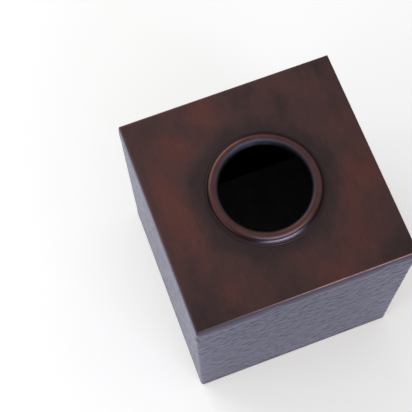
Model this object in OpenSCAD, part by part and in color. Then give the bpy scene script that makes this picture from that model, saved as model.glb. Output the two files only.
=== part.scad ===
// Tissue box cover, open cube size. A folded wall band and a pressed top cap form the
// cover. A spun ring trims the round opening, and a loose base pan closes the bottom.
// Millimetres, +Z up. The origin is on the table, under the middle of the cover, and
// -Y is the front. The wall band's seam is at the back.

/* [Cover] */
// Outside width and depth of the square cover
cover_w = 127; // [122:1:150]
// Height of the flat top above the table
cover_h = 141; // [125:1:170]
// Thickness of the steel sheet
sheet_t = 0.8; // [0.6:0.1:1]
// Outside radius of the upright corners, seen from above
corner_r = 2; // [1.8:0.1:4]

/* [Top cap] */
// Depth of the cap's plain skirt
skirt_h = 16; // [12:1:20]
// Radius of the slow curve by which the skirt leans in towards the top
crown_r = 60; // [40:5:120]
// Outside radius of the edges round the top
edge_r = 1.3; // [1.1:0.1:2]

/* [Opening ring] */
// Clear width of the opening
opening_d = 50; // [40:1:60]
// Outside radius of the ring's rounded bead
bead_r = 3.5; // [3:0.1:4.5]
// Radius of the hollow between the bead and the flange
hollow_r = 1.4; // [1:0.1:2]
// Width of the flat flange outside the hollow
flange_w = 0.7; // [0.6:0.1:2]
// Thickness of the ring's sheet
ring_t = 0.5; // [0.5:0.1:0.8]
// Inside radius of the bend that clinches the collar under the cap
clinch_r = 0.2; // [0.1:0.05:0.3]
// Width of the clinched flange
clinch_w = 2.5; // [1.5:0.5:4]

/* [Wall band] */
// Height of the lip that laps inside the cap's skirt
lip_h = 4.5; // [3:0.5:5]
// Gap between the lip and the skirt
lap_gap = 0.1; // [0:0.05:0.15]
// Space left above the lip, before the skirt starts to lean in
lip_space = 0.5; // [0.3:0.1:1]
// Height of the hem folded inwards along the bottom
hem_h = 8; // [6:1:12]
// Width of the open line where the band's two ends meet
seam_gap = 0.3; // [0.1:0.1:0.5]
// Width of the strip that backs the seam
strip_w = 16; // [10:1:24]
// Space between the strip's ends and the hem and lip
strip_space = 1.2; // [0.5:0.1:3]
// Radius of the strip's corners
strip_r = 2; // [1:0.5:4]

/* [Base pan] */
// Gap between the pan's flange and the hem
pan_gap = 0.3; // [0.3:0.05:0.5]
// Overall height of the pan
pan_h = 6.5; // [6:0.5:12]
// Outside radius of the pan's corners, seen from above
pan_corner_r = 5; // [4:0.5:8]
// Outside radius of the pan's bottom edges
pan_edge_r = 2; // [1.2:0.1:3]

/* [Feet] */
// Diameter of a foot
foot_d = 12; // [8:1:16]
// Height of a foot
foot_h = 1.2; // [1:0.1:2]
// Radius round a foot's lower rim
foot_rim_r = 0.5; // [0.2:0.1:0.8]
// Distance from the cover's outside to a foot's centre
foot_inset = 16; // [14:1:30]

/* [Hidden] */
$fn = 96;
// Small overrun of the cutting solids
cut = 1;
// How far an arc reaches past the line or arc that it runs on into, so that the two cross
// cleanly where they would only just touch
arc_overlap = 0.004;
// Colours of the finishes
bronze = [0.24, 0.17, 0.16];
hammered_bronze = [0.27, 0.21, 0.20];
copper_brown = [0.34, 0.20, 0.17];
black_paint = [0.05, 0.05, 0.06];
black_rubber = [0.09, 0.09, 0.09];

// Where the cap's skirt sits on the wall band, and where it starts to lean in
shoulder_z = cover_h - skirt_h;
crown_z = shoulder_z + lip_h + lip_space;
// Outside of the lip and inside of the wall, measured out from a corner's axis
lip_out = corner_r - sheet_t - lap_gap;
wall_in = corner_r - sheet_t;

// Ring: radii from the middle of the opening, heights from the top face of the cap
opening_r = opening_d / 2;
collar_r = opening_r + ring_t;
cap_hole_r = collar_r + clinch_r;

// Pan: it fits inside the hem, and its floor's underside rests on the feet
pan_w = cover_w - 4 * sheet_t - 2 * pan_gap;

// Feet: they stand the same distance in from both sides
foot_at = cover_w / 2 - foot_inset;

// Carries a profile round a square of outside width w with corners of outside radius r.
// The profile's x runs outwards from a corner's axis, so its outer face is at x = r.
module round_square(w, r) {
    side = w - 2 * r;
    for (turn = [0 : 90 : 270])
        rotate(turn)
            translate([side / 2, side / 2, 0]) {
                rotate([90, 0, 0])
                    linear_extrude(side)
                        children();
                rotate_extrude(angle = 90)
                    children();
            }
}

// Quarter of a bent sheet: the quadrant on the +X +Y side of the bend's centre
module bend(inside_r, t) {
    intersection() {
        difference() {
            circle(inside_r + t);
            circle(inside_r);
        }
        square(inside_r + t);
    }
}

// Upright strip of sheet from height z0 to z1, with its outer face at x
module leg(x, t, z0, z1) {
    translate([x - t, z0])
        square([t, z1 - z0]);
}

// Square of outside width w with corners of radius r
module rounded_square(w, r) {
    square([w, w - 2 * r], center = true);
    square([w - 2 * r, w], center = true);
    for (x = [-1, 1], y = [-1, 1])
        translate([x * (w / 2 - r), y * (w / 2 - r)])
            circle(r);
}

// Right half of the cap's outline as seen from the front, taken inwards by inset: an
// upright foot from height low, the slow crown, the small edge arc and the flat top.
// All of them keep their centres, so two insets bound a sheet of even thickness.
module cap_half(inset, low) {
    crown_x = cover_w / 2 - crown_r;
    edge_z = cover_h - edge_r;
    rise = edge_z - crown_z;
    run = sqrt(pow(crown_r - edge_r, 2) - pow(rise, 2));
    edge_x = crown_x + run + arc_overlap;
    meet_z = crown_z + rise * (crown_r - inset) / (crown_r - edge_r);
    translate([0, low])
        square([edge_x, cover_h - inset - low]);
    translate([0, low])
        square([cover_w / 2 - inset, crown_z - low]);
    translate([edge_x, edge_z])
        circle(edge_r - inset);
    intersection() {
        translate([crown_x, crown_z])
            circle(crown_r - inset);
        translate([0, crown_z - lip_space])
            square([cover_w / 2 - inset, meet_z - crown_z + lip_space]);
    }
}

// Bar along Y with the cap's outline, both halves
module cap_bar(inset, low) {
    rotate([90, 0, 0])
        linear_extrude(cover_w - 2 * inset, center = true)
            for (side = [0, 1])
                mirror([side, 0])
                    cap_half(inset, low);
}

// Block with the cap's form, taken inwards by inset: two bars cross, and an upright
// prism rounds the corners below the mitres
module cap_block(inset, low) {
    intersection() {
        cap_bar(inset, low);
        rotate(90)
            cap_bar(inset, low);
        translate([0, 0, low])
            linear_extrude(cover_h - low)
                rounded_square(cover_w - 2 * inset, corner_r - inset);
    }
}

// Pressed cap: a flat top, a crowned skirt all round and a hole for the ring's collar
module top_cap() {
    color(bronze)
        difference() {
            cap_block(0, shoulder_z);
            cap_block(sheet_t, shoulder_z - cut);
            translate([0, 0, cover_h - sheet_t - cut])
                cylinder(r = cap_hole_r, h = sheet_t + 2 * cut);
        }
}

// Outside of the ring above the cap: the bead's arc, the hollow whose arc runs on from it,
// and the flat flange with its rounded rim
module ring_outside(bead_x, bead_y) {
    reach = bead_r + hollow_r - arc_overlap;
    hollow_y = ring_t + hollow_r - arc_overlap;
    hollow_x = bead_x + sqrt(pow(reach, 2) - pow(hollow_y - bead_y, 2));
    meet_y = bead_y + (hollow_y - bead_y) * bead_r / reach;
    rim_x = hollow_x + flange_w - ring_t / 2;
    intersection() {
        translate([bead_x, bead_y])
            circle(bead_r);
        translate([opening_r, 0])
            square([2 * bead_r, bead_r]);
    }
    difference() {
        translate([bead_x, 0])
            square([hollow_x - bead_x, meet_y]);
        translate([hollow_x, hollow_y])
            circle(hollow_r);
    }
    translate([bead_x, 0])
        square([rim_x - bead_x, ring_t]);
    translate([rim_x, ring_t / 2])
        circle(ring_t / 2);
}

// Ring section: a hollow bead and a flange that sits on the cap. The bead's inner side runs
// down into a collar, which passes the cap's hole and is clinched outwards under it.
module ring_profile() {
    bead_x = opening_r + bead_r;
    bead_y = clinch_r - sheet_t;
    bend_x = collar_r + clinch_r;
    difference() {
        union() {
            ring_outside(bead_x, bead_y);
            intersection() {
                translate([bead_x, bead_y])
                    circle(bead_r);
                translate([opening_r, bead_y])
                    square([bead_r, -bead_y]);
            }
        }
        translate([bead_x, bead_y])
            circle(bead_r - ring_t);
    }
    translate([bend_x, bead_y])
        rotate(180)
            bend(clinch_r, ring_t);
    translate([bend_x, -sheet_t - ring_t])
        square([clinch_w, ring_t]);
}

module opening_ring() {
    color(copper_brown)
        translate([0, 0, cover_h])
            rotate_extrude()
                ring_profile();
}

// Wall section: a closed hem with a rounded fold, the wall, and a lip that is joggled
// inwards by a sheet's thickness so that the cap's skirt comes flush with the wall
module band_profile() {
    leg(corner_r, sheet_t, sheet_t, shoulder_z);
    leg(wall_in, sheet_t, sheet_t, hem_h);
    translate([wall_in, sheet_t])
        circle(sheet_t);
    leg(corner_r, sheet_t + corner_r - lip_out, shoulder_z - sheet_t, shoulder_z);
    leg(lip_out, sheet_t, shoulder_z - sheet_t, shoulder_z + lip_h);
}

module wall_band() {
    color(hammered_bronze)
        difference() {
            round_square(cover_w, corner_r)
                band_profile();
            translate([-seam_gap / 2, cover_w / 2 - corner_r, -cut])
                cube([seam_gap, corner_r + cut, cover_h + cut]);
        }
}

// Flat strip with rounded corners, spot welded over the seam on the inside
module seam_strip() {
    low = hem_h + strip_space;
    high = shoulder_z - sheet_t - strip_space;
    color(black_paint)
        translate([0, cover_w / 2 - sheet_t, 0])
            rotate([90, 0, 0])
                linear_extrude(sheet_t)
                    union() {
                        for (x = [-1, 1], z = [low + strip_r, high - strip_r])
                            translate([x * (strip_w / 2 - strip_r), z])
                                circle(strip_r);
                        translate([-strip_w / 2, low + strip_r])
                            square([strip_w, high - low - 2 * strip_r]);
                        translate([strip_r - strip_w / 2, low])
                            square([strip_w - 2 * strip_r, high - low]);
                    }
}

// Drawn pan: a flat floor, a rounded bottom edge and an upright flange
module pan_profile() {
    edge_x = pan_corner_r - pan_edge_r;
    leg(pan_corner_r, sheet_t, pan_edge_r, pan_h);
    translate([edge_x, pan_edge_r])
        rotate(-90)
            bend(pan_edge_r - sheet_t, sheet_t);
    square([edge_x, sheet_t]);
}

module base_pan() {
    floor_w = pan_w - 2 * pan_corner_r;
    color(black_paint)
        translate([0, 0, foot_h])
            union() {
                round_square(pan_w, pan_corner_r)
                    pan_profile();
                linear_extrude(sheet_t)
                    square(floor_w, center = true);
            }
}

// Self-adhesive pad, with its lower rim rounded
module foot(x, y) {
    r = foot_d / 2;
    color(black_rubber)
        translate([x * foot_at, y * foot_at, 0])
            rotate_extrude() {
                square([r - foot_rim_r, foot_h]);
                translate([0, foot_rim_r])
                    square([r, foot_h - foot_rim_r]);
                translate([r - foot_rim_r, foot_rim_r])
                    circle(foot_rim_r);
            }
}

top_cap();
opening_ring();
wall_band();
seam_strip();
base_pan();
foot(-1, -1);  // foot_front_left
foot(1, -1);  // foot_front_right
foot(-1, 1);  // foot_back_left
foot(1, 1);  // foot_back_right
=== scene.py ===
# Looks of the tissue box cover: finishes, hammered sheet, floor, light and camera.
# The object's lengths are in millimetres here, as in the CAD source, and are turned into
# metres (MM) where they reach Blender. +Z is up, -Y is the front, and the seam is at +Y.

import math

import bpy
import numpy as np
from mathutils import Matrix, Vector


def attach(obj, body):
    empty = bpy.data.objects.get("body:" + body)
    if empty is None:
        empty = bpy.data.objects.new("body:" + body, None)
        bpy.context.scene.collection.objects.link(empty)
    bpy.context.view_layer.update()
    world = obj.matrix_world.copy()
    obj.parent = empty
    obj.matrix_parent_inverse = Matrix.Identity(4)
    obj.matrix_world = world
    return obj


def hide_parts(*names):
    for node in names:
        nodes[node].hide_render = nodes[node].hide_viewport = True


MM = 0.001

# Sizes of the cover, as in the CAD source
COVER_W = 127.0
COVER_H = 141.0
SHEET_T = 0.8
CORNER_R = 2.0
SKIRT_H = 16.0
CROWN_R = 60.0
EDGE_R = 1.3
HOLE_R = 25.7
LIP_H = 4.5
LIP_SPACE = 0.5
LAP_GAP = 0.1
HEM_H = 8.0
HEM_CHAMFER = 0.15
HEM_ROOT = 0.1
SEAM_GAP = 0.3
STRIP_W = 16.0
OPENING_R = 25.0
BEAD_R = 3.5
BEAD_DROP = 0.6
HOLLOW_R = 1.4
FLANGE_W = 0.7
RING_T = 0.5
CLINCH_R = 0.2
CLINCH_W = 2.5
CLINCH_EDGE = 0.03
# How sharp the cap's corners may get where the crowned faces meet
SHARPEST_CORNER_R = 0.35
# Width of the cap's inner edge, between the underside of its top and its skirt
INNER_EDGE_W = 0.5
SHOULDER_Z = COVER_H - SKIRT_H
CROWN_Z = SHOULDER_Z + LIP_H + LIP_SPACE
TOP_EDGE_Z = COVER_H - EDGE_R

# Hammer marks: shallow round dents that overlap, pressed inwards from the outside
MARK_PITCH = 3.9
MARK_JITTER = 0.36
MARK_RADIUS = (2.8, 3.9)
MARK_DEPTH = (0.18, 0.38)
MARK_SEED = 11
MARKS_TOP = (129.0, 137.0)
MARKS_TOP_WAVE = (37.0, 23.0, 61.0)
MARKS_TOP_FADE = 5.0
MARKS_BOTTOM = 2.5
MARKS_BOTTOM_FADE = 4.0
# How far a mark can lie from its place in the pattern, in columns and rows
MARK_REACH = (-2, -1, 0, 1, 2)
# Where the marks fade in on the inside: beside the seam strip, above the hem, below the lip
STRIP_MARGIN = (0.5, 4.0)
HEM_MARGIN = 3.0
LIP_MARGIN = (4.0, 1.0)

# Steps of the sheet's mesh: along the walls and up them in millimetres, then in numbers
STEP_ALONG = 1.0
STEP_UP = 1.0
STEP_UP_INSIDE = 3.0
CORNER_STEPS = 6
HEM_STEPS = 12
HEM_STEPS_BRONZED = 9
HEM_ROWS = (3.0, 5.5)
SKIRT_ROWS = 8
CROWN_STEPS = 14
EDGE_STEPS = 8
TOP_STEPS = 26
UNDER_STEPS = 8
# A row this close to a sharp edge keeps the shading flat up to it
EDGE_ROW = 0.06

# Steps of the ring's mesh, round it and along each part of its section
RING_STATIONS = 288
BEAD_STEPS = 56
HOLLOW_STEPS = 12
RIM_STEPS = 8
BORE_STEPS = 28
CLINCH_STEPS = 4
UNDER_RIM = 0.7

# Side of the floor in metres
FLOOR_SIZE = 6.0

# Camera, fitted to the straight edges of the cover in the photograph
AIM = (-33.57, 1.44, 141.0)
DISTANCE = 584.8
AZIMUTH = -17.244
ELEVATION = 70.225
ROLL = -3.347
LENS = 94.695
SENSOR = 36.0

# Colours, linear
BRONZE_MID = (0.0545, 0.0265, 0.0255)
BRONZE_RED = (0.084, 0.030, 0.025)
BRONZE_DARK = (0.0247, 0.0158, 0.0163)
WALL_MID = (0.030, 0.0175, 0.0185)
WALL_RED = (0.050, 0.022, 0.020)
WALL_DARK = (0.015, 0.011, 0.0125)
WALL_RIDGE = (0.072, 0.037, 0.032)
RING_RED = (0.075, 0.032, 0.027)
# Nearly black inside the opening: painted shade
RING_INSIDE_SHADE = (0.005, 0.004, 0.0045)
RING_GREY = (0.034, 0.027, 0.033)
# Down the ring's outside: a dark patina, darkened further as painted shade for the dark
# surroundings it reflects
RING_OUTSIDE_AND_SHADE = (0.019, 0.010, 0.0105)
# Copper on the front edge: partly rubbed, partly a painted highlight
EDGE_COPPER_AND_HIGHLIGHT = (0.13, 0.065, 0.05)
BLACK_PAINT = (0.006, 0.006, 0.006)
# The pan's floor: paler than the black paint, as painted light for the light that falls in
# through the opening
PAN_FLOOR_PAINTED_LIGHT = (0.20, 0.166, 0.188)
BLACK_RUBBER = (0.016, 0.016, 0.016)
RUBBER_GRAIN = (0.024, 0.024, 0.023)
PAPER = (0.81, 0.79, 0.79)
PAPER_LIGHT = (0.35, 0.34, 0.31)
# Tint of the walls' reflections at a slant, from the wax over the patina
WAX_TINT = (0.73, 0.755, 0.975, 1.0)
# How the second colour of a mottled one differs: added for dust, the others as shares
DUST_PALER = 0.006
SCUFF_DARKER = 0.8
FIBRE_PALER = 1.02
# Strength of the white surroundings as light on matt surfaces, and where they are seen
SKY_LIGHT = 0.42
SKY_SEEN = 1.0

# Places between which the finish changes, in millimetres. On the top: the dark surround of
# the ring, and the copper along the front edge, partly rubbed and partly a painted highlight
HALO_R = (46, 32.5)
EDGE_Z = (140.95, 140.7)
EDGE_Y = (-60, -62)
EDGE_X = (-40, 20)
# On the walls: heights where the marks begin, and depths in them
MARKED_Z = (138, 128)
RIDGE_DEPTH = (0.14, 0.02)
HOLLOW_DEPTH = (0.14, 0.34)
# On the ring: distances from its axis
COLLAR_R = (25.3, 27.1)
COLLAR_ROUGH_R = (26.5, 28.5)
CREST_INNER_R = (26.4, 28.8)
CREST_OUTER_R = (31.3, 29.4)
OUTSIDE_R = (29.0, 31.2)
FLANGE_R = (32.0, 33.0)
FLANGE_ROUGH_R = (32.0, 32.8)
# The pan's floor, the edge of a spot weld, and the scene's floor
PAN_FLOOR_Z = (2.6, 2.1)
WELD_R = (1.9, 1.2)
FAR_FLOOR = (300, 1600)
# The rubbed band on the ring's crest is a little off the middle
CREST_CENTRE = (0.35, 0.5, 0)
# Spot welds: distance from the seam, half the distance between them, and their shift upwards
WELD_X = 5.0
WELD_HALF_PITCH = 9.0
WELD_SHIFT = 3.0

# Where the finish is rubbed through to redder bronze on the top: x, y, reach, strength
RED_PATCHES = (
    (-16, 49, 17, 0.9),
    (-40, 32, 19, 0.8),
    (-53, 14, 18, 0.8),
    (-49, -4, 19, 1.0),
    (-46, -22, 17, 0.6),
    (-38, -44, 15, 0.5),
    (53, 17, 17, 0.5),
    (54, -6, 18, 0.9),
    (46, -20, 18, 0.7),
    (37, -40, 18, 0.7),
    (19, -53, 17, 0.9),
    (6, -40, 14, 0.4),
    (30, 50, 18, 0.5),
    (52, 42, 14, 0.3),
)
# Where the dark patina stays thick on the top, besides the ring's surround
DARK_PATCHES = (
    (-49, 48, 18, 0.4),
    (8, 49, 17, 0.5),
    (28, 37, 16, 0.6),
    (-16, -36, 18, 0.4),
    (-50, -36, 17, 0.4),
    (-62, -62, 32, 1.0),
    (-6, -58, 22, 0.5),
    (63, -62, 34, 1.0),
    (62, 62, 28, 0.7),
    (64, 26, 16, 0.3),
    (36, 8, 12, 0.4),
    (-30, 14, 11, 0.4),
    (-34, -22, 11, 0.4),
)

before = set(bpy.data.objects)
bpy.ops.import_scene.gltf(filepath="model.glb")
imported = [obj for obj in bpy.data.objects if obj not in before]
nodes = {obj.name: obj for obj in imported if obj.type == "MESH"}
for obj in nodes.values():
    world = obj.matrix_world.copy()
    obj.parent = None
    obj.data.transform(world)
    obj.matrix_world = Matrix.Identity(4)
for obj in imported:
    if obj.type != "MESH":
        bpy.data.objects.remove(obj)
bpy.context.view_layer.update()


# Outline of the cover


def outline_stations(gap):
    """Unit outline of a square with rounded corners, anticlockwise from the back's middle.
    A station's point is core * (half - radius) + normal * radius. gap, in millimetres, is
    left open at the back, and without one the outline closes on itself."""
    straight = COVER_W / 2 - CORNER_R
    quarter = [(-1, 1), (-1, -1), (1, -1), (1, 1)]
    steps = round(straight / STEP_ALONG)
    start = gap / 2 / straight
    core, normal = [], []
    for x in np.linspace(-start, -1, steps + 1)[:-1]:
        core.append((x, 1))
        normal.append((0, 1))
    for k, (cx, cy) in enumerate(quarter):
        turn = math.pi / 2 * (k + 1)
        for a in np.linspace(turn, turn + math.pi / 2, CORNER_STEPS + 1)[:-1]:
            core.append((cx, cy))
            normal.append((math.cos(a), math.sin(a)))
        if k < 3:
            nx, ny = quarter[k + 1]
            face = (math.cos(turn + math.pi / 2), math.sin(turn + math.pi / 2))
            for t in np.linspace(0, 1, 2 * steps + 1)[:-1]:
                core.append((cx + (nx - cx) * t, cy + (ny - cy) * t))
                normal.append(face)
    for x in np.linspace(1, start, steps + 1):
        core.append((x, 1))
        normal.append((0, 1))
    if gap == 0:
        core.pop()
        normal.pop()
    return np.array(core), np.array(normal)


def outline_length(core, normal, gap):
    """Distance of each station from the middle of the back, along the outside of the walls."""
    points = core * (COVER_W / 2 - CORNER_R) + normal * CORNER_R
    hops = np.linalg.norm(np.diff(points, axis=0), axis=1)
    return np.concatenate([[0], np.cumsum(hops)]) + gap / 2


# Hammered surface


def smooth(value, low, high):
    """0 at low and 1 at high, with a smooth change between them."""
    t = np.clip((value - low) / (high - low), 0, 1)
    return t * t * (3 - 2 * t)


def hammered(along, up):
    """Depth of the hammer marks at distances along the walls and heights up them."""
    rng = np.random.default_rng(MARK_SEED)
    around = 4 * (COVER_W - 2 * CORNER_R) + 2 * math.pi * CORNER_R
    columns = round(around / MARK_PITCH)
    rows = math.ceil(COVER_H / MARK_PITCH) + 2
    pitch = around / columns
    shift = rng.uniform(-MARK_JITTER, MARK_JITTER, (columns, rows, 2)) * pitch
    radius = rng.uniform(*MARK_RADIUS, (columns, rows))
    depth = rng.uniform(*MARK_DEPTH, (columns, rows))
    col, row = np.meshgrid(np.arange(columns), np.arange(rows), indexing="ij")
    mark_s = (col + 0.5 + 0.5 * (row % 2)) * pitch + shift[..., 0]
    mark_z = (row - 0.5) * pitch + shift[..., 1]
    wave = sum(
        np.sin(2 * math.pi * mark_s / length + k) for k, length in enumerate(MARKS_TOP_WAVE)
    )
    top = np.interp(wave / len(MARKS_TOP_WAVE), (-0.8, 0.8), MARKS_TOP)
    depth = depth * np.clip((top - mark_z) / MARKS_TOP_FADE, 0, 1)
    depth = depth * np.clip((mark_z - MARKS_BOTTOM) / MARKS_BOTTOM_FADE, 0, 1)

    home_col = np.floor(along / pitch).astype(int)
    home_row = np.floor(up / pitch + 0.5).astype(int)
    deepest = np.zeros(np.broadcast(along, up).shape)
    for i in MARK_REACH:
        for j in MARK_REACH:
            c = (home_col + i) % columns
            r = np.clip(home_row + j, 0, rows - 1)
            ds = (along - mark_s[c, r] + around / 2) % around - around / 2
            away = np.hypot(ds, up - mark_z[c, r]) / radius[c, r]
            deepest = np.maximum(deepest, depth[c, r] * (1 - away**2))
    return deepest


# Sheet metal meshes


def sheet_mesh(name, points, closed, materials, row_finish, depth=None):
    """One solid sheet from a grid of points: rows run round the sheet's section, and
    stations run round the cover. An open grid is capped at its two ends. row_finish says
    which of the materials lies between each row and the next, and depth is how deep in a
    hammer mark each point lies, for the walls' finish."""
    rows, stations = points.shape[:2]
    ids = np.arange(rows * stations).reshape(rows, stations)
    below = np.roll(ids, -1, axis=0)
    corners = [ids, below, np.roll(below, -1, axis=1), np.roll(ids, -1, axis=1)]
    if not closed:
        corners = [corner[:, :-1] for corner in corners]
    quads = np.stack(corners, axis=-1)
    faces = quads.reshape(-1, 4).tolist()
    if not closed:
        faces += [ids[::-1, 0].tolist(), ids[:, -1].tolist()]
    mesh = bpy.data.meshes.new(name)
    mesh.from_pydata((points.reshape(-1, 3) * MM).tolist(), [], faces)
    for material in materials:
        mesh.materials.append(material)
    index = np.zeros(len(faces), np.int32)
    index[: quads.shape[0] * quads.shape[1]] = np.repeat(row_finish, quads.shape[1])
    mesh.polygons.foreach_set("material_index", index)
    mesh.polygons.foreach_set("use_smooth", np.ones(len(faces), bool))
    if depth is not None:
        stored = mesh.attributes.new("mark_depth", "FLOAT", "POINT")
        stored.data.foreach_set("value", depth.ravel().astype(np.float32))
    mesh.update()
    piece = bpy.data.objects.new(name, mesh)
    bpy.context.scene.collection.objects.link(piece)
    return piece


def band_rows():
    """Section of the wall band: inset from the outside, height, and share of the hammer
    marks' depth. It goes down the outside, round the hem and up the inside to the lip."""
    lip_out = SHEET_T + LAP_GAP
    rows = [(0.0, z, 1.0) for z in np.arange(SHOULDER_Z, SHEET_T, -STEP_UP)]
    rows.insert(1, (0.0, SHOULDER_Z - EDGE_ROW, 1.0))
    outside = len(rows)
    for a in np.linspace(0, math.pi, HEM_STEPS + 1):
        rows.append((SHEET_T - SHEET_T * math.cos(a), SHEET_T - SHEET_T * math.sin(a), 0.0))
    rows += [(2 * SHEET_T, z, 0.0) for z in (*HEM_ROWS, HEM_H - HEM_CHAMFER)]
    rows += [(2 * SHEET_T - HEM_CHAMFER, HEM_H, 0.0), (SHEET_T + HEM_ROOT, HEM_H, 0.0)]
    low, high = HEM_H + HEM_ROOT, SHOULDER_Z - SHEET_T
    inner = np.linspace(low, high, round((high - low) / STEP_UP_INSIDE) + 1)
    rows += [(SHEET_T, z, 1.0) for z in inner]
    rows += [(SHEET_T + lip_out, z, 0.0) for z in (high, SHOULDER_Z, SHOULDER_Z + LIP_H)]
    rows += [(lip_out, z, 0.0) for z in (SHOULDER_Z + LIP_H, SHOULDER_Z)]
    return rows, outside


def hammered_band(outside, inside):
    """The folded wall band, hammered all over and open at the seam."""
    core, normal = outline_stations(SEAM_GAP)
    along = outline_length(core, normal, SEAM_GAP)
    rows, outside_count = band_rows()
    inset, z, share = (np.array(column)[:, None] for column in zip(*rows))
    marks = hammered(along[None, :], z) * share
    # The inside stays flat where the seam strip is welded on, and close to hem and lip
    from_seam = np.minimum(along, along[-1] - along)[None, :]
    clear = smooth(from_seam, *(STRIP_W / 2 + margin for margin in STRIP_MARGIN))
    clear = clear * smooth(z, HEM_H, HEM_H + HEM_MARGIN)
    clear = clear * (1 - smooth(z, *(SHOULDER_Z - margin for margin in LIP_MARGIN)))
    marks = np.where(inset > SHEET_T / 2, marks * clear, marks)
    inset = inset + marks
    half, radius = COVER_W / 2 - inset, np.maximum(CORNER_R - inset, 0.1)
    xy = core[None] * (half - radius)[..., None] + normal[None] * radius[..., None]
    points = np.concatenate([xy, np.broadcast_to(z[..., None], (*marks.shape, 1))], axis=-1)
    bronzed = outside_count + HEM_STEPS_BRONZED
    row_finish = [0] * bronzed + [1] * (len(rows) - bronzed)
    return sheet_mesh("hammered_band", points, False, [outside, inside], row_finish, marks)


def cap_outside():
    """Half width and height of the cap's outside, from the shoulder up to the flat top."""
    rise = TOP_EDGE_Z - CROWN_Z
    lean = math.asin(rise / (CROWN_R - EDGE_R))
    crown_x = COVER_W / 2 - CROWN_R
    edge_x = crown_x + (CROWN_R - EDGE_R) * math.cos(lean)
    rows = [(COVER_W / 2, z) for z in np.linspace(SHOULDER_Z, CROWN_Z, SKIRT_ROWS)]
    rows.insert(1, (COVER_W / 2, SHOULDER_Z + EDGE_ROW))
    for a in np.linspace(0, lean, CROWN_STEPS + 1)[1:]:
        rows.append((crown_x + CROWN_R * math.cos(a), CROWN_Z + CROWN_R * math.sin(a)))
    for a in np.linspace(lean, math.pi / 2, EDGE_STEPS + 1)[1:]:
        rows.append((edge_x + EDGE_R * math.cos(a), TOP_EDGE_Z + EDGE_R * math.sin(a)))
    return rows


def corner_radius(half):
    """Plan radius of the cap's corner where its half width is half: the corner's arc is
    cut away towards the top, where the crowned faces meet in mitres."""
    corner = COVER_W / 2 - CORNER_R
    reach = corner * math.sqrt(2) + CORNER_R
    radius = (half * math.sqrt(2) - reach) / (math.sqrt(2) - 1)
    return np.clip(radius, SHARPEST_CORNER_R, CORNER_R)


def pressed_cap(top, skirt, inside):
    """The cap: crowned skirt with the first hammer marks, flat top with a round hole."""
    core, normal = outline_stations(0)
    along = outline_length(core, normal, 0)
    outer = cap_outside()
    inner = [(half - SHEET_T, z) for half, z in outer if z < TOP_EDGE_Z]

    def ring_of(half, z, radius, marks):
        half = half - marks
        xy = core * (half - radius)[:, None] + normal * np.asarray(radius).reshape(-1, 1)
        return np.column_stack([xy, np.full(len(core), z)])

    grid, depth = [], []
    for half, z in outer:
        depth.append(hammered(along, np.full(len(along), z)))
        grid.append(ring_of(half, z, corner_radius(half), depth[-1]))
    edge = grid[-1]
    angle = np.arctan2(edge[:, 1], edge[:, 0])
    hole = np.column_stack([HOLE_R * np.cos(angle), HOLE_R * np.sin(angle), edge[:, 2]])
    for t in np.linspace(0, 1, TOP_STEPS + 1)[1:]:
        grid.append(edge + (hole - edge) * t)
    row_finish = [1] * len(inner) + [0] * (len(grid) - len(inner))
    flat = np.zeros(len(along))
    hole = hole - [0.0, 0.0, SHEET_T]
    edge_half = inner[-1][0] - INNER_EDGE_W
    edge = ring_of(edge_half, COVER_H - SHEET_T, SHARPEST_CORNER_R, flat)
    for t in np.linspace(0, 1, UNDER_STEPS + 1):
        grid.append(hole + (edge - hole) * t)
    for half, z in reversed(inner):
        radius = max(corner_radius(half + SHEET_T) - SHEET_T, SHARPEST_CORNER_R)
        grid.append(ring_of(half, z, radius, flat))
    points = np.array(grid)
    row_finish += [2] * (len(grid) - len(row_finish))
    depth = np.pad(depth, ((0, len(grid) - len(depth)), (0, 0)))
    piece = sheet_mesh("pressed_cap", points, True, [top, skirt, inside], row_finish, depth)
    # The rows go up the outside here, so the faces are turned round to look outwards
    piece.data.flip_normals()
    return piece


def ring_section():
    """Section of the ring as (radius, height) points: over the bead from the collar, down
    the hollow, round the flange and back under it, then round the clinched flange."""

    def arc(x, y, radius, start, end, steps):
        turn = np.radians(np.linspace(start, end, steps + 1))
        return list(zip(x + radius * np.cos(turn), y + radius * np.sin(turn)))

    bead_x, bead_y = OPENING_R + BEAD_R, -BEAD_DROP
    hollow_y = RING_T + HOLLOW_R
    hollow_x = bead_x + math.sqrt((BEAD_R + HOLLOW_R) ** 2 - (hollow_y - bead_y) ** 2)
    meet = math.degrees(math.atan2(hollow_y - bead_y, hollow_x - bead_x))
    rim_x = hollow_x + FLANGE_W - RING_T / 2
    bore = BEAD_R - RING_T
    foot = math.degrees(math.asin(BEAD_DROP / bore))
    bend_x = OPENING_R + RING_T + CLINCH_R
    end_x = bend_x + CLINCH_W
    low = bead_y - CLINCH_R
    points = arc(bead_x, bead_y, BEAD_R, 180, meet, BEAD_STEPS)
    points += arc(hollow_x, hollow_y, HOLLOW_R, meet - 180, -90, HOLLOW_STEPS)[1:]
    points += arc(rim_x, RING_T / 2, RING_T / 2, 90, -90, RIM_STEPS)
    points += [(rim_x - UNDER_RIM, 0.0)] + arc(bead_x, bead_y, bore, foot, 180, BORE_STEPS)
    points += arc(bend_x, bead_y, CLINCH_R, 180, 270, CLINCH_STEPS)[1:]
    points += [(end_x - CLINCH_EDGE, low), (end_x, low - CLINCH_EDGE)]
    points += [(end_x, low - RING_T + CLINCH_EDGE), (end_x - CLINCH_EDGE, low - RING_T)]
    points += arc(bend_x, bead_y, CLINCH_R + RING_T, 270, 180, 2 * CLINCH_STEPS)[:-1]
    return np.array(points)


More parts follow.
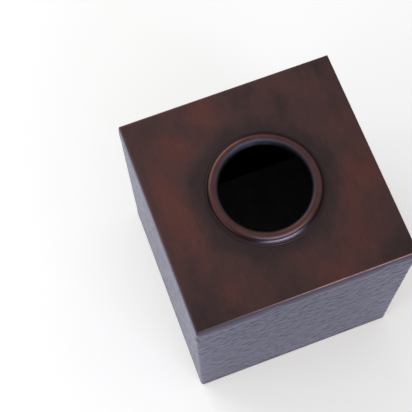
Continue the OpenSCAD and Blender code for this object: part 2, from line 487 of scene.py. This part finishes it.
def spun_ring(material):
    """The ring, turned from its section."""
    radius, height = ring_section().T
    around = np.linspace(0, 2 * math.pi, RING_STATIONS, endpoint=False)
    points = np.empty((len(radius), RING_STATIONS, 3))
    points[..., 0] = radius[:, None] * np.cos(around)
    points[..., 1] = radius[:, None] * np.sin(around)
    points[..., 2] = (COVER_H + height)[:, None]
    return sheet_mesh("spun_ring", points, True, [material], [0] * len(radius))


# Material nodes


class Graph:
    """Builds one material's node tree. Values go in as sockets or as plain numbers."""

    def __init__(self, name):
        self.material = bpy.data.materials.new(name)
        self.material.use_nodes = True
        self.tree = self.material.node_tree
        self.shader = self.tree.nodes["Principled BSDF"]
        self.place = self.add("ShaderNodeTexCoord").outputs["Object"]
        self.mm = self.vector("SCALE", self.place, scale=1 / MM)

    def add(self, kind, **settings):
        made = self.tree.nodes.new(kind)
        for key, value in settings.items():
            setattr(made, key, value)
        return made

    def put(self, socket, value):
        if isinstance(value, bpy.types.NodeSocket):
            self.tree.links.new(value, socket)
        elif value is not None:
            if socket.type == "RGBA" and len(value) == 3:
                value = (*value, 1.0)
            socket.default_value = value

    def math(self, operation, a, b=None, clamp=False):
        made = self.add("ShaderNodeMath", operation=operation, use_clamp=clamp)
        self.put(made.inputs[0], a)
        self.put(made.inputs[1], b)
        return made.outputs[0]

    def vector(self, operation, a, b=None, scale=None, out="Vector"):
        made = self.add("ShaderNodeVectorMath", operation=operation)
        self.put(made.inputs[0], a)
        self.put(made.inputs[1], b)
        if scale is not None:
            self.put(made.inputs["Scale"], scale)
        return made.outputs[out]

    def axes(self):
        """The place's x, y and z in millimetres."""
        made = self.add("ShaderNodeSeparateXYZ")
        self.put(made.inputs[0], self.mm)
        return made.outputs

    def noise(self, vector, scale, detail=3.0, roughness=0.5):
        made = self.add("ShaderNodeTexNoise")
        self.put(made.inputs["Vector"], vector)
        self.put(made.inputs["Scale"], scale)
        self.put(made.inputs["Detail"], detail)
        self.put(made.inputs["Roughness"], roughness)
        return made.outputs[0]

    def warped(self, vector, scale, reach):
        """vector, pushed about by up to reach or so, by noise of the given scale."""
        made = self.add("ShaderNodeTexNoise")
        self.put(made.inputs["Vector"], vector)
        made.inputs["Scale"].default_value = scale
        push = self.vector("SUBTRACT", made.outputs["Color"], (0.5, 0.5, 0.5))
        return self.vector("ADD", vector, self.vector("SCALE", push, scale=4 * reach))

    def step(self, value, low, high, to_low=0.0, to_high=1.0):
        """to_low where value is low and to_high where it is high, and smooth between."""
        made = self.add("ShaderNodeMapRange", interpolation_type="SMOOTHSTEP")
        self.put(made.inputs["Value"], value)
        self.put(made.inputs["From Min"], low)
        self.put(made.inputs["From Max"], high)
        self.put(made.inputs["To Min"], to_low)
        self.put(made.inputs["To Max"], to_high)
        return made.outputs[0]

    def mix(self, factor, a, b, blend="MIX"):
        made = self.add("ShaderNodeMix", data_type="RGBA", blend_type=blend)
        self.put(made.inputs[0], factor)
        self.put(made.inputs[6], a)
        self.put(made.inputs[7], b)
        return made.outputs[2]

    def bump(self, height, distance, normal=None):
        """distance is the height in millimetres that a value of 1 stands for."""
        made = self.add("ShaderNodeBump")
        self.put(made.inputs["Height"], height)
        made.inputs["Distance"].default_value = distance * MM
        self.put(made.inputs["Normal"], normal)
        return made.outputs[0]

    def set(self, **values):
        for key, value in values.items():
            self.put(self.shader.inputs[key.replace("_", " ")], value)
        return self.material

    def patches(self, flat, places):
        """Sum of soft round patches, each fading out at its reach."""
        total = 0.0
        for x, y, reach, strength in places:
            away = self.vector("DISTANCE", flat, (x, y, 0), out="Value")
            total = self.math("ADD", self.step(away, reach, 0, 0, strength), total)
        return total


def brushed_streaks(g):
    """Fine and broader streaks left by brushing from front to back."""
    thin = g.vector("MULTIPLY", g.mm, (2.0, 0.1, 2.0))
    wide = g.vector("MULTIPLY", g.mm, (0.6, 0.03, 0.6))
    fine = g.noise(thin, scale=1.0, detail=2.0, roughness=0.6)
    broad = g.noise(wide, scale=1.0, detail=3.0, roughness=0.6)
    return fine, broad


def top_bronze():
    """Oil-rubbed bronze on the cap: brushed from front to back, redder where the patina is
    rubbed thin, and nearly black round the ring and in places along the edges."""
    g = Graph("top_bronze")
    bent = g.warped(g.warped(g.mm, scale=0.045, reach=5.0), scale=0.17, reach=3.0)
    flat = g.vector("MULTIPLY", bent, (1, 0.9, 0))
    fine, broad = brushed_streaks(g)
    drawn_out = g.vector("MULTIPLY", g.mm, (1, 0.5, 1))
    cloud = g.noise(drawn_out, scale=0.09, detail=5.0, roughness=0.6)

    red = g.math("ADD", g.patches(flat, RED_PATCHES), g.math("MULTIPLY", cloud, 1.1))
    red = g.math("ADD", red, g.math("MULTIPLY", broad, 0.5))
    red = g.step(red, 0.70, 1.85)
    drawn_out = g.vector("MULTIPLY", g.mm, (1, 0.4, 1))
    murk = g.noise(drawn_out, scale=0.14, detail=4.0, roughness=0.65)
    dark = g.math("ADD", g.patches(flat, DARK_PATCHES), g.math("MULTIPLY", broad, 0.35))
    dark = g.math("ADD", dark, g.step(murk, 0.40, 0.75, 0, 0.45))
    near_ring = g.vector("MULTIPLY", g.warped(g.mm, scale=0.10, reach=1.6), (1, 1, 0))
    halo = g.step(g.vector("LENGTH", near_ring, out="Value"), *HALO_R)
    dark = g.step(g.math("ADD", dark, halo), 0.12, 1.35)
    # The top is a little lighter towards the back left and darker towards the front right
    along_diagonal = g.vector("DOT_PRODUCT", g.mm, (0.7, -0.7, 0), out="Value")
    diagonal_tone = g.step(along_diagonal, -70, 70, 1.06, 0.92)

    colour = g.mix(red, BRONZE_MID, BRONZE_RED)
    colour = g.mix(g.math("MULTIPLY", dark, 0.85), colour, BRONZE_DARK)
    colour = g.mix(1.0, colour, diagonal_tone, "MULTIPLY")
    colour = g.mix(1.0, colour, g.step(fine, 0.25, 0.75, 0.90, 1.10), "MULTIPLY")
    # The front edge is copper towards the right: partly rubbed, partly a painted highlight
    x, y, z = g.axes()
    rubbed = g.math("MULTIPLY", g.step(z, *EDGE_Z), g.step(y, *EDGE_Y))
    rubbed = g.math("MULTIPLY", rubbed, g.step(x, *EDGE_X, 0.1, 1.0))
    rubbed = g.math("MULTIPLY", rubbed, g.step(murk, 0.3, 0.55, 0.5, 1.0))
    colour = g.mix(rubbed, colour, EDGE_COPPER_AND_HIGHLIGHT)
    rough = g.math("ADD", g.step(broad, 0.3, 0.7, 0.32, 0.40), g.math("MULTIPLY", dark, 0.06))
    return g.set(
        Base_Color=colour,
        Metallic=0.8,
        Roughness=rough,
        Normal=g.bump(fine, 0.012),
    )


def hammered_bronze():
    """The same finish on the walls, without the top's brushing: rubbed lighter on the ridges
    between the hammer marks, and dark in the hollows."""
    g = Graph("hammered_bronze")
    fine = g.noise(g.mm, scale=1.4, roughness=0.6)
    broad = g.noise(g.mm, scale=0.25, roughness=0.6)
    drifting = g.warped(g.mm, scale=0.08, reach=3.0)
    cloud = g.noise(drifting, scale=0.045, detail=4.0, roughness=0.55)
    colour = g.mix(g.step(cloud, 0.45, 0.7, 0, 0.5), WALL_MID, WALL_RED)
    colour = g.mix(g.step(cloud, 0.48, 0.3, 0, 0.5), colour, WALL_DARK)
    depth = g.add("ShaderNodeAttribute", attribute_name="mark_depth").outputs["Fac"]
    height = g.axes()[2]
    ridge = g.math("MULTIPLY", g.step(depth, *RIDGE_DEPTH), g.step(height, *MARKED_Z))
    ridge = g.math("MULTIPLY", ridge, g.step(cloud, 0.35, 0.65, 0.35, 0.9))
    colour = g.mix(ridge, colour, WALL_RIDGE)
    colour = g.mix(g.step(depth, *HOLLOW_DEPTH, 0, 0.7), colour, WALL_DARK)
    colour = g.mix(1.0, colour, g.step(fine, 0.25, 0.75, 0.92, 1.08), "MULTIPLY")
    return g.set(
        Base_Color=colour,
        Metallic=0.8,
        Specular_Tint=WAX_TINT,
        Roughness=g.step(broad, 0.3, 0.7, 0.21, 0.27),
        Normal=g.bump(fine, 0.004),
    )


def ring_bronze():
    """The ring: rubbed to red bronze on its crest, nearly black inside the opening as painted
    shade, nearly black down its outside as a dark patina with painted shade for the dark
    surroundings it reflects, and like the top again on its flange."""
    g = Graph("ring_bronze")
    around = g.warped(g.vector("SUBTRACT", g.mm, CREST_CENTRE), scale=0.06, reach=0.15)
    radius = g.vector("LENGTH", g.vector("MULTIPLY", g.mm, (1, 1, 0)), out="Value")
    at = g.vector("LENGTH", g.vector("MULTIPLY", around, (1, 1, 0)), out="Value")
    cloud = g.noise(g.mm, scale=0.12)
    turning = g.noise(radius, scale=2.6, roughness=0.6)
    # Nearly black inside the opening as painted shade, and down the outside a dark patina with
    # painted shade
    colour = g.mix(g.step(at, *COLLAR_R), RING_INSIDE_SHADE, RING_GREY)
    colour = g.mix(g.step(at, *OUTSIDE_R), colour, RING_OUTSIDE_AND_SHADE)
    colour = g.mix(g.step(radius, *FLANGE_R), colour, BRONZE_DARK)
    worn = g.math("MULTIPLY", g.step(at, *CREST_INNER_R), g.step(at, *CREST_OUTER_R))
    colour = g.mix(worn, colour, RING_RED)
    colour = g.mix(g.step(cloud, 0.55, 0.3, 0, 0.25), colour, BRONZE_DARK)
    colour = g.mix(1.0, colour, g.step(turning, 0.3, 0.7, 0.94, 1.06), "MULTIPLY")
    rough = g.step(at, *COLLAR_ROUGH_R, 0.50, 0.29)
    rough = g.math("ADD", rough, g.step(radius, *FLANGE_ROUGH_R, 0, 0.18))
    return g.set(
        Base_Color=colour,
        Metallic=1.0,
        Roughness=g.math("ADD", rough, g.step(cloud, 0.3, 0.7, -0.02, 0.03)),
        Normal=g.bump(turning, 0.0002),
    )


def black_paint(name, floor_painted_light=None, welds=False):
    """Satin black paint with a slight orange peel. The pan's floor is a paler grey, painted
    light for the light that falls on it through the opening, with a darker mottle, and the
    seam strip's spot welds show through."""
    g = Graph(name)
    peel = g.noise(g.mm, scale=0.9, detail=2.0)
    dust = g.noise(g.mm, scale=0.08, detail=4.0)
    normal = g.bump(peel, 0.03)
    x, _, z = g.axes()
    if welds:
        across = g.math("SUBTRACT", g.math("ABSOLUTE", x), WELD_X)
        up = g.math("PINGPONG", g.math("ADD", z, WELD_SHIFT), WELD_HALF_PITCH)
        squares = g.math("ADD", g.math("POWER", across, 2.0), g.math("POWER", up, 2.0))
        dimple = g.step(g.math("SQRT", squares), *WELD_R)
        normal = g.bump(dimple, -0.15, normal)
    dusty = tuple(c + DUST_PALER for c in BLACK_PAINT)
    colour = g.mix(g.step(dust, 0.45, 0.75, 0, 0.6), BLACK_PAINT, dusty)
    # The pan's floor is painted a paler grey: painted light for the light that falls in
    # through the opening
    if floor_painted_light:
        darker = tuple(c * SCUFF_DARKER for c in floor_painted_light)
        mottled_painted_light = g.mix(g.step(dust, 0.35, 0.7), floor_painted_light, darker)
        colour = g.mix(g.step(z, *PAN_FLOOR_Z), colour, mottled_painted_light)
    return g.set(
        Base_Color=colour,
        Roughness=g.step(dust, 0.3, 0.7, 0.5, 0.62),
        Specular_IOR_Level=0.25 if floor_painted_light else 0.1,
        Normal=normal,
    )


def rubber():
    """Matt black rubber with a fine grain."""
    g = Graph("foot_rubber")
    grain = g.noise(g.mm, scale=3.0, roughness=0.7)
    colour = g.mix(g.step(grain, 0.3, 0.7), BLACK_RUBBER, RUBBER_GRAIN)
    return g.set(Base_Color=colour, Roughness=0.78, Normal=g.bump(grain, 0.05))


def floor_paper():
    """Pale seamless paper. Where the camera or a reflection sees it, it carries a little of
    its own light, so that it comes out white and keeps the object's shadow."""
    g = Graph("floor_paper")
    fibre = g.noise(g.mm, scale=0.6, detail=4.0, roughness=0.6)
    path = g.add("ShaderNodeLightPath").outputs
    seen = g.math("ADD", path["Is Camera Ray"], path["Is Glossy Ray"], clamp=True)
    seen = g.math("ADD", seen, path["Is Transmission Ray"], clamp=True)
    # The lamps leave the far floor darker, so it carries more of its own light there
    far = g.step(g.vector("LENGTH", g.mm, out="Value"), *FAR_FLOOR, 1.0, 1.95)
    return g.set(
        Base_Color=g.mix(fibre, PAPER, tuple(c * FIBRE_PALER for c in PAPER)),
        Roughness=0.9,
        Specular_IOR_Level=0.0,
        Emission_Color=PAPER_LIGHT,
        Emission_Strength=g.math("MULTIPLY", seen, far),
        Normal=g.bump(fibre, 0.02),
    )


def wear(piece, material):
    """Gives a CAD node, or a piece made here, its finish."""
    piece.data.materials.clear()
    piece.data.materials.append(material)


# Finishes of the CAD nodes

painted = black_paint("black_paint")
wear(nodes["base_pan"], black_paint("pan_paint", floor_painted_light=PAN_FLOOR_PAINTED_LIGHT))
wear(nodes["seam_strip"], black_paint("welded_strip_paint", welds=True))
foot_rubber = rubber()
for side in ("front_left", "front_right", "back_left", "back_right"):
    wear(nodes["foot_" + side], foot_rubber)

# Hammered sheet in place of the plain CAD sheet, and the ring turned more finely

walls = hammered_bronze()
cap = pressed_cap(top_bronze(), walls, painted)
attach(cap, "cover")
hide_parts("top_cap")

band = hammered_band(walls, painted)
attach(band, "cover")
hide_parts("wall_band")

ring = spun_ring(ring_bronze())
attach(ring, "cover")
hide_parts("opening_ring")

# Floor

bpy.ops.mesh.primitive_plane_add(size=FLOOR_SIZE)
floor = bpy.context.object
floor.name = "floor"
wear(floor, floor_paper())


# Light


def softbox(name, azimuth, elevation, distance, size, power, colour, gloss_on=None):
    """Area lamp that faces the cover. Azimuth 0 is in front and 90 at the right. One with
    gloss_on only shows as a reflection in that piece, and adds no light to the object."""
    a, e = math.radians(azimuth), math.radians(elevation)
    lamp = bpy.data.lights.new(name, "AREA")
    lamp.shape = "RECTANGLE"
    lamp.size, lamp.size_y = size
    lamp.energy = power
    lamp.color = colour
    holder = bpy.data.objects.new(name, lamp)
    towards = Vector((math.sin(a) * math.cos(e), -math.cos(a) * math.cos(e), math.sin(e)))
    centre = Vector((0, 0, COVER_H / 2 * MM))
    holder.location = centre + towards * distance
    holder.rotation_mode = "QUATERNION"
    holder.rotation_quaternion = towards.to_track_quat("Z", "Y")
    if gloss_on:
        holder.visible_diffuse = False
        receivers = bpy.data.collections.new(name + "_receivers")
        receivers.objects.link(gloss_on)
        holder.light_linking.receiver_collection = receivers
    bpy.context.scene.collection.objects.link(holder)


# Name, azimuth, elevation, distance, width and height, power and colour
softbox("low_window", 14, 8, 1.5, (1.0, 0.24), 15, (0.74, 0.81, 1.0))
softbox("low_strip", 3, 4, 1.5, (1.3, 0.34), 105, (0.46, 0.76, 1.0), gloss_on=ring)
softbox("high_strip", 8, 58, 1.2, (0.8, 0.6), 16, (0.46, 0.70, 1.0), gloss_on=ring)
softbox("left_panel", -85, 30, 1.5, (1.2, 0.6), 7, (0.85, 0.92, 1.0))
softbox("back_panel", -155, 28, 1.5, (1.7, 0.8), 12, (0.85, 0.92, 1.0))

# White surroundings, dimmer where they light a matt surface than where they are seen

world = bpy.data.worlds.new("studio")
bpy.context.scene.world = world
world.use_nodes = True
sky = world.node_tree
path = sky.nodes.new("ShaderNodeLightPath").outputs
seen = path["Is Camera Ray"]
for ray in ("Is Glossy Ray", "Is Transmission Ray"):
    either = sky.nodes.new("ShaderNodeMath")
    either.operation = "MAXIMUM"
    sky.links.new(seen, either.inputs[0])
    sky.links.new(path[ray], either.inputs[1])
    seen = either.outputs[0]
level = sky.nodes.new("ShaderNodeMapRange")
level.inputs["To Min"].default_value = SKY_LIGHT
level.inputs["To Max"].default_value = SKY_SEEN
background = sky.nodes["Background"]
background.inputs["Color"].default_value = (1.0, 1.0, 1.0, 1.0)
sky.links.new(seen, level.inputs["Value"])
sky.links.new(level.outputs[0], background.inputs["Strength"])

# Camera

a, e, roll = math.radians(AZIMUTH), math.radians(ELEVATION), math.radians(ROLL)
forward = Vector((-math.sin(a) * math.cos(e), math.cos(a) * math.cos(e), -math.sin(e)))
level_right = forward.cross(Vector((0, 0, 1))).normalized()
level_up = level_right.cross(forward)
right = level_right * math.cos(roll) + level_up * math.sin(roll)
up = level_up * math.cos(roll) - level_right * math.sin(roll)
data = bpy.data.cameras.new("photo_camera")
data.lens = LENS
data.sensor_fit = "HORIZONTAL"
data.sensor_width = SENSOR
data.clip_start, data.clip_end = 0.05, 20.0
camera = bpy.data.objects.new("photo_camera", data)
position = (Vector(AIM) - forward * DISTANCE) * MM
turn = Matrix((right, up, -forward)).transposed().to_4x4()
camera.matrix_world = Matrix.Translation(position) @ turn
bpy.context.scene.collection.objects.link(camera)
bpy.context.scene.camera = camera

bpy.context.scene.view_settings.view_transform = "Standard"
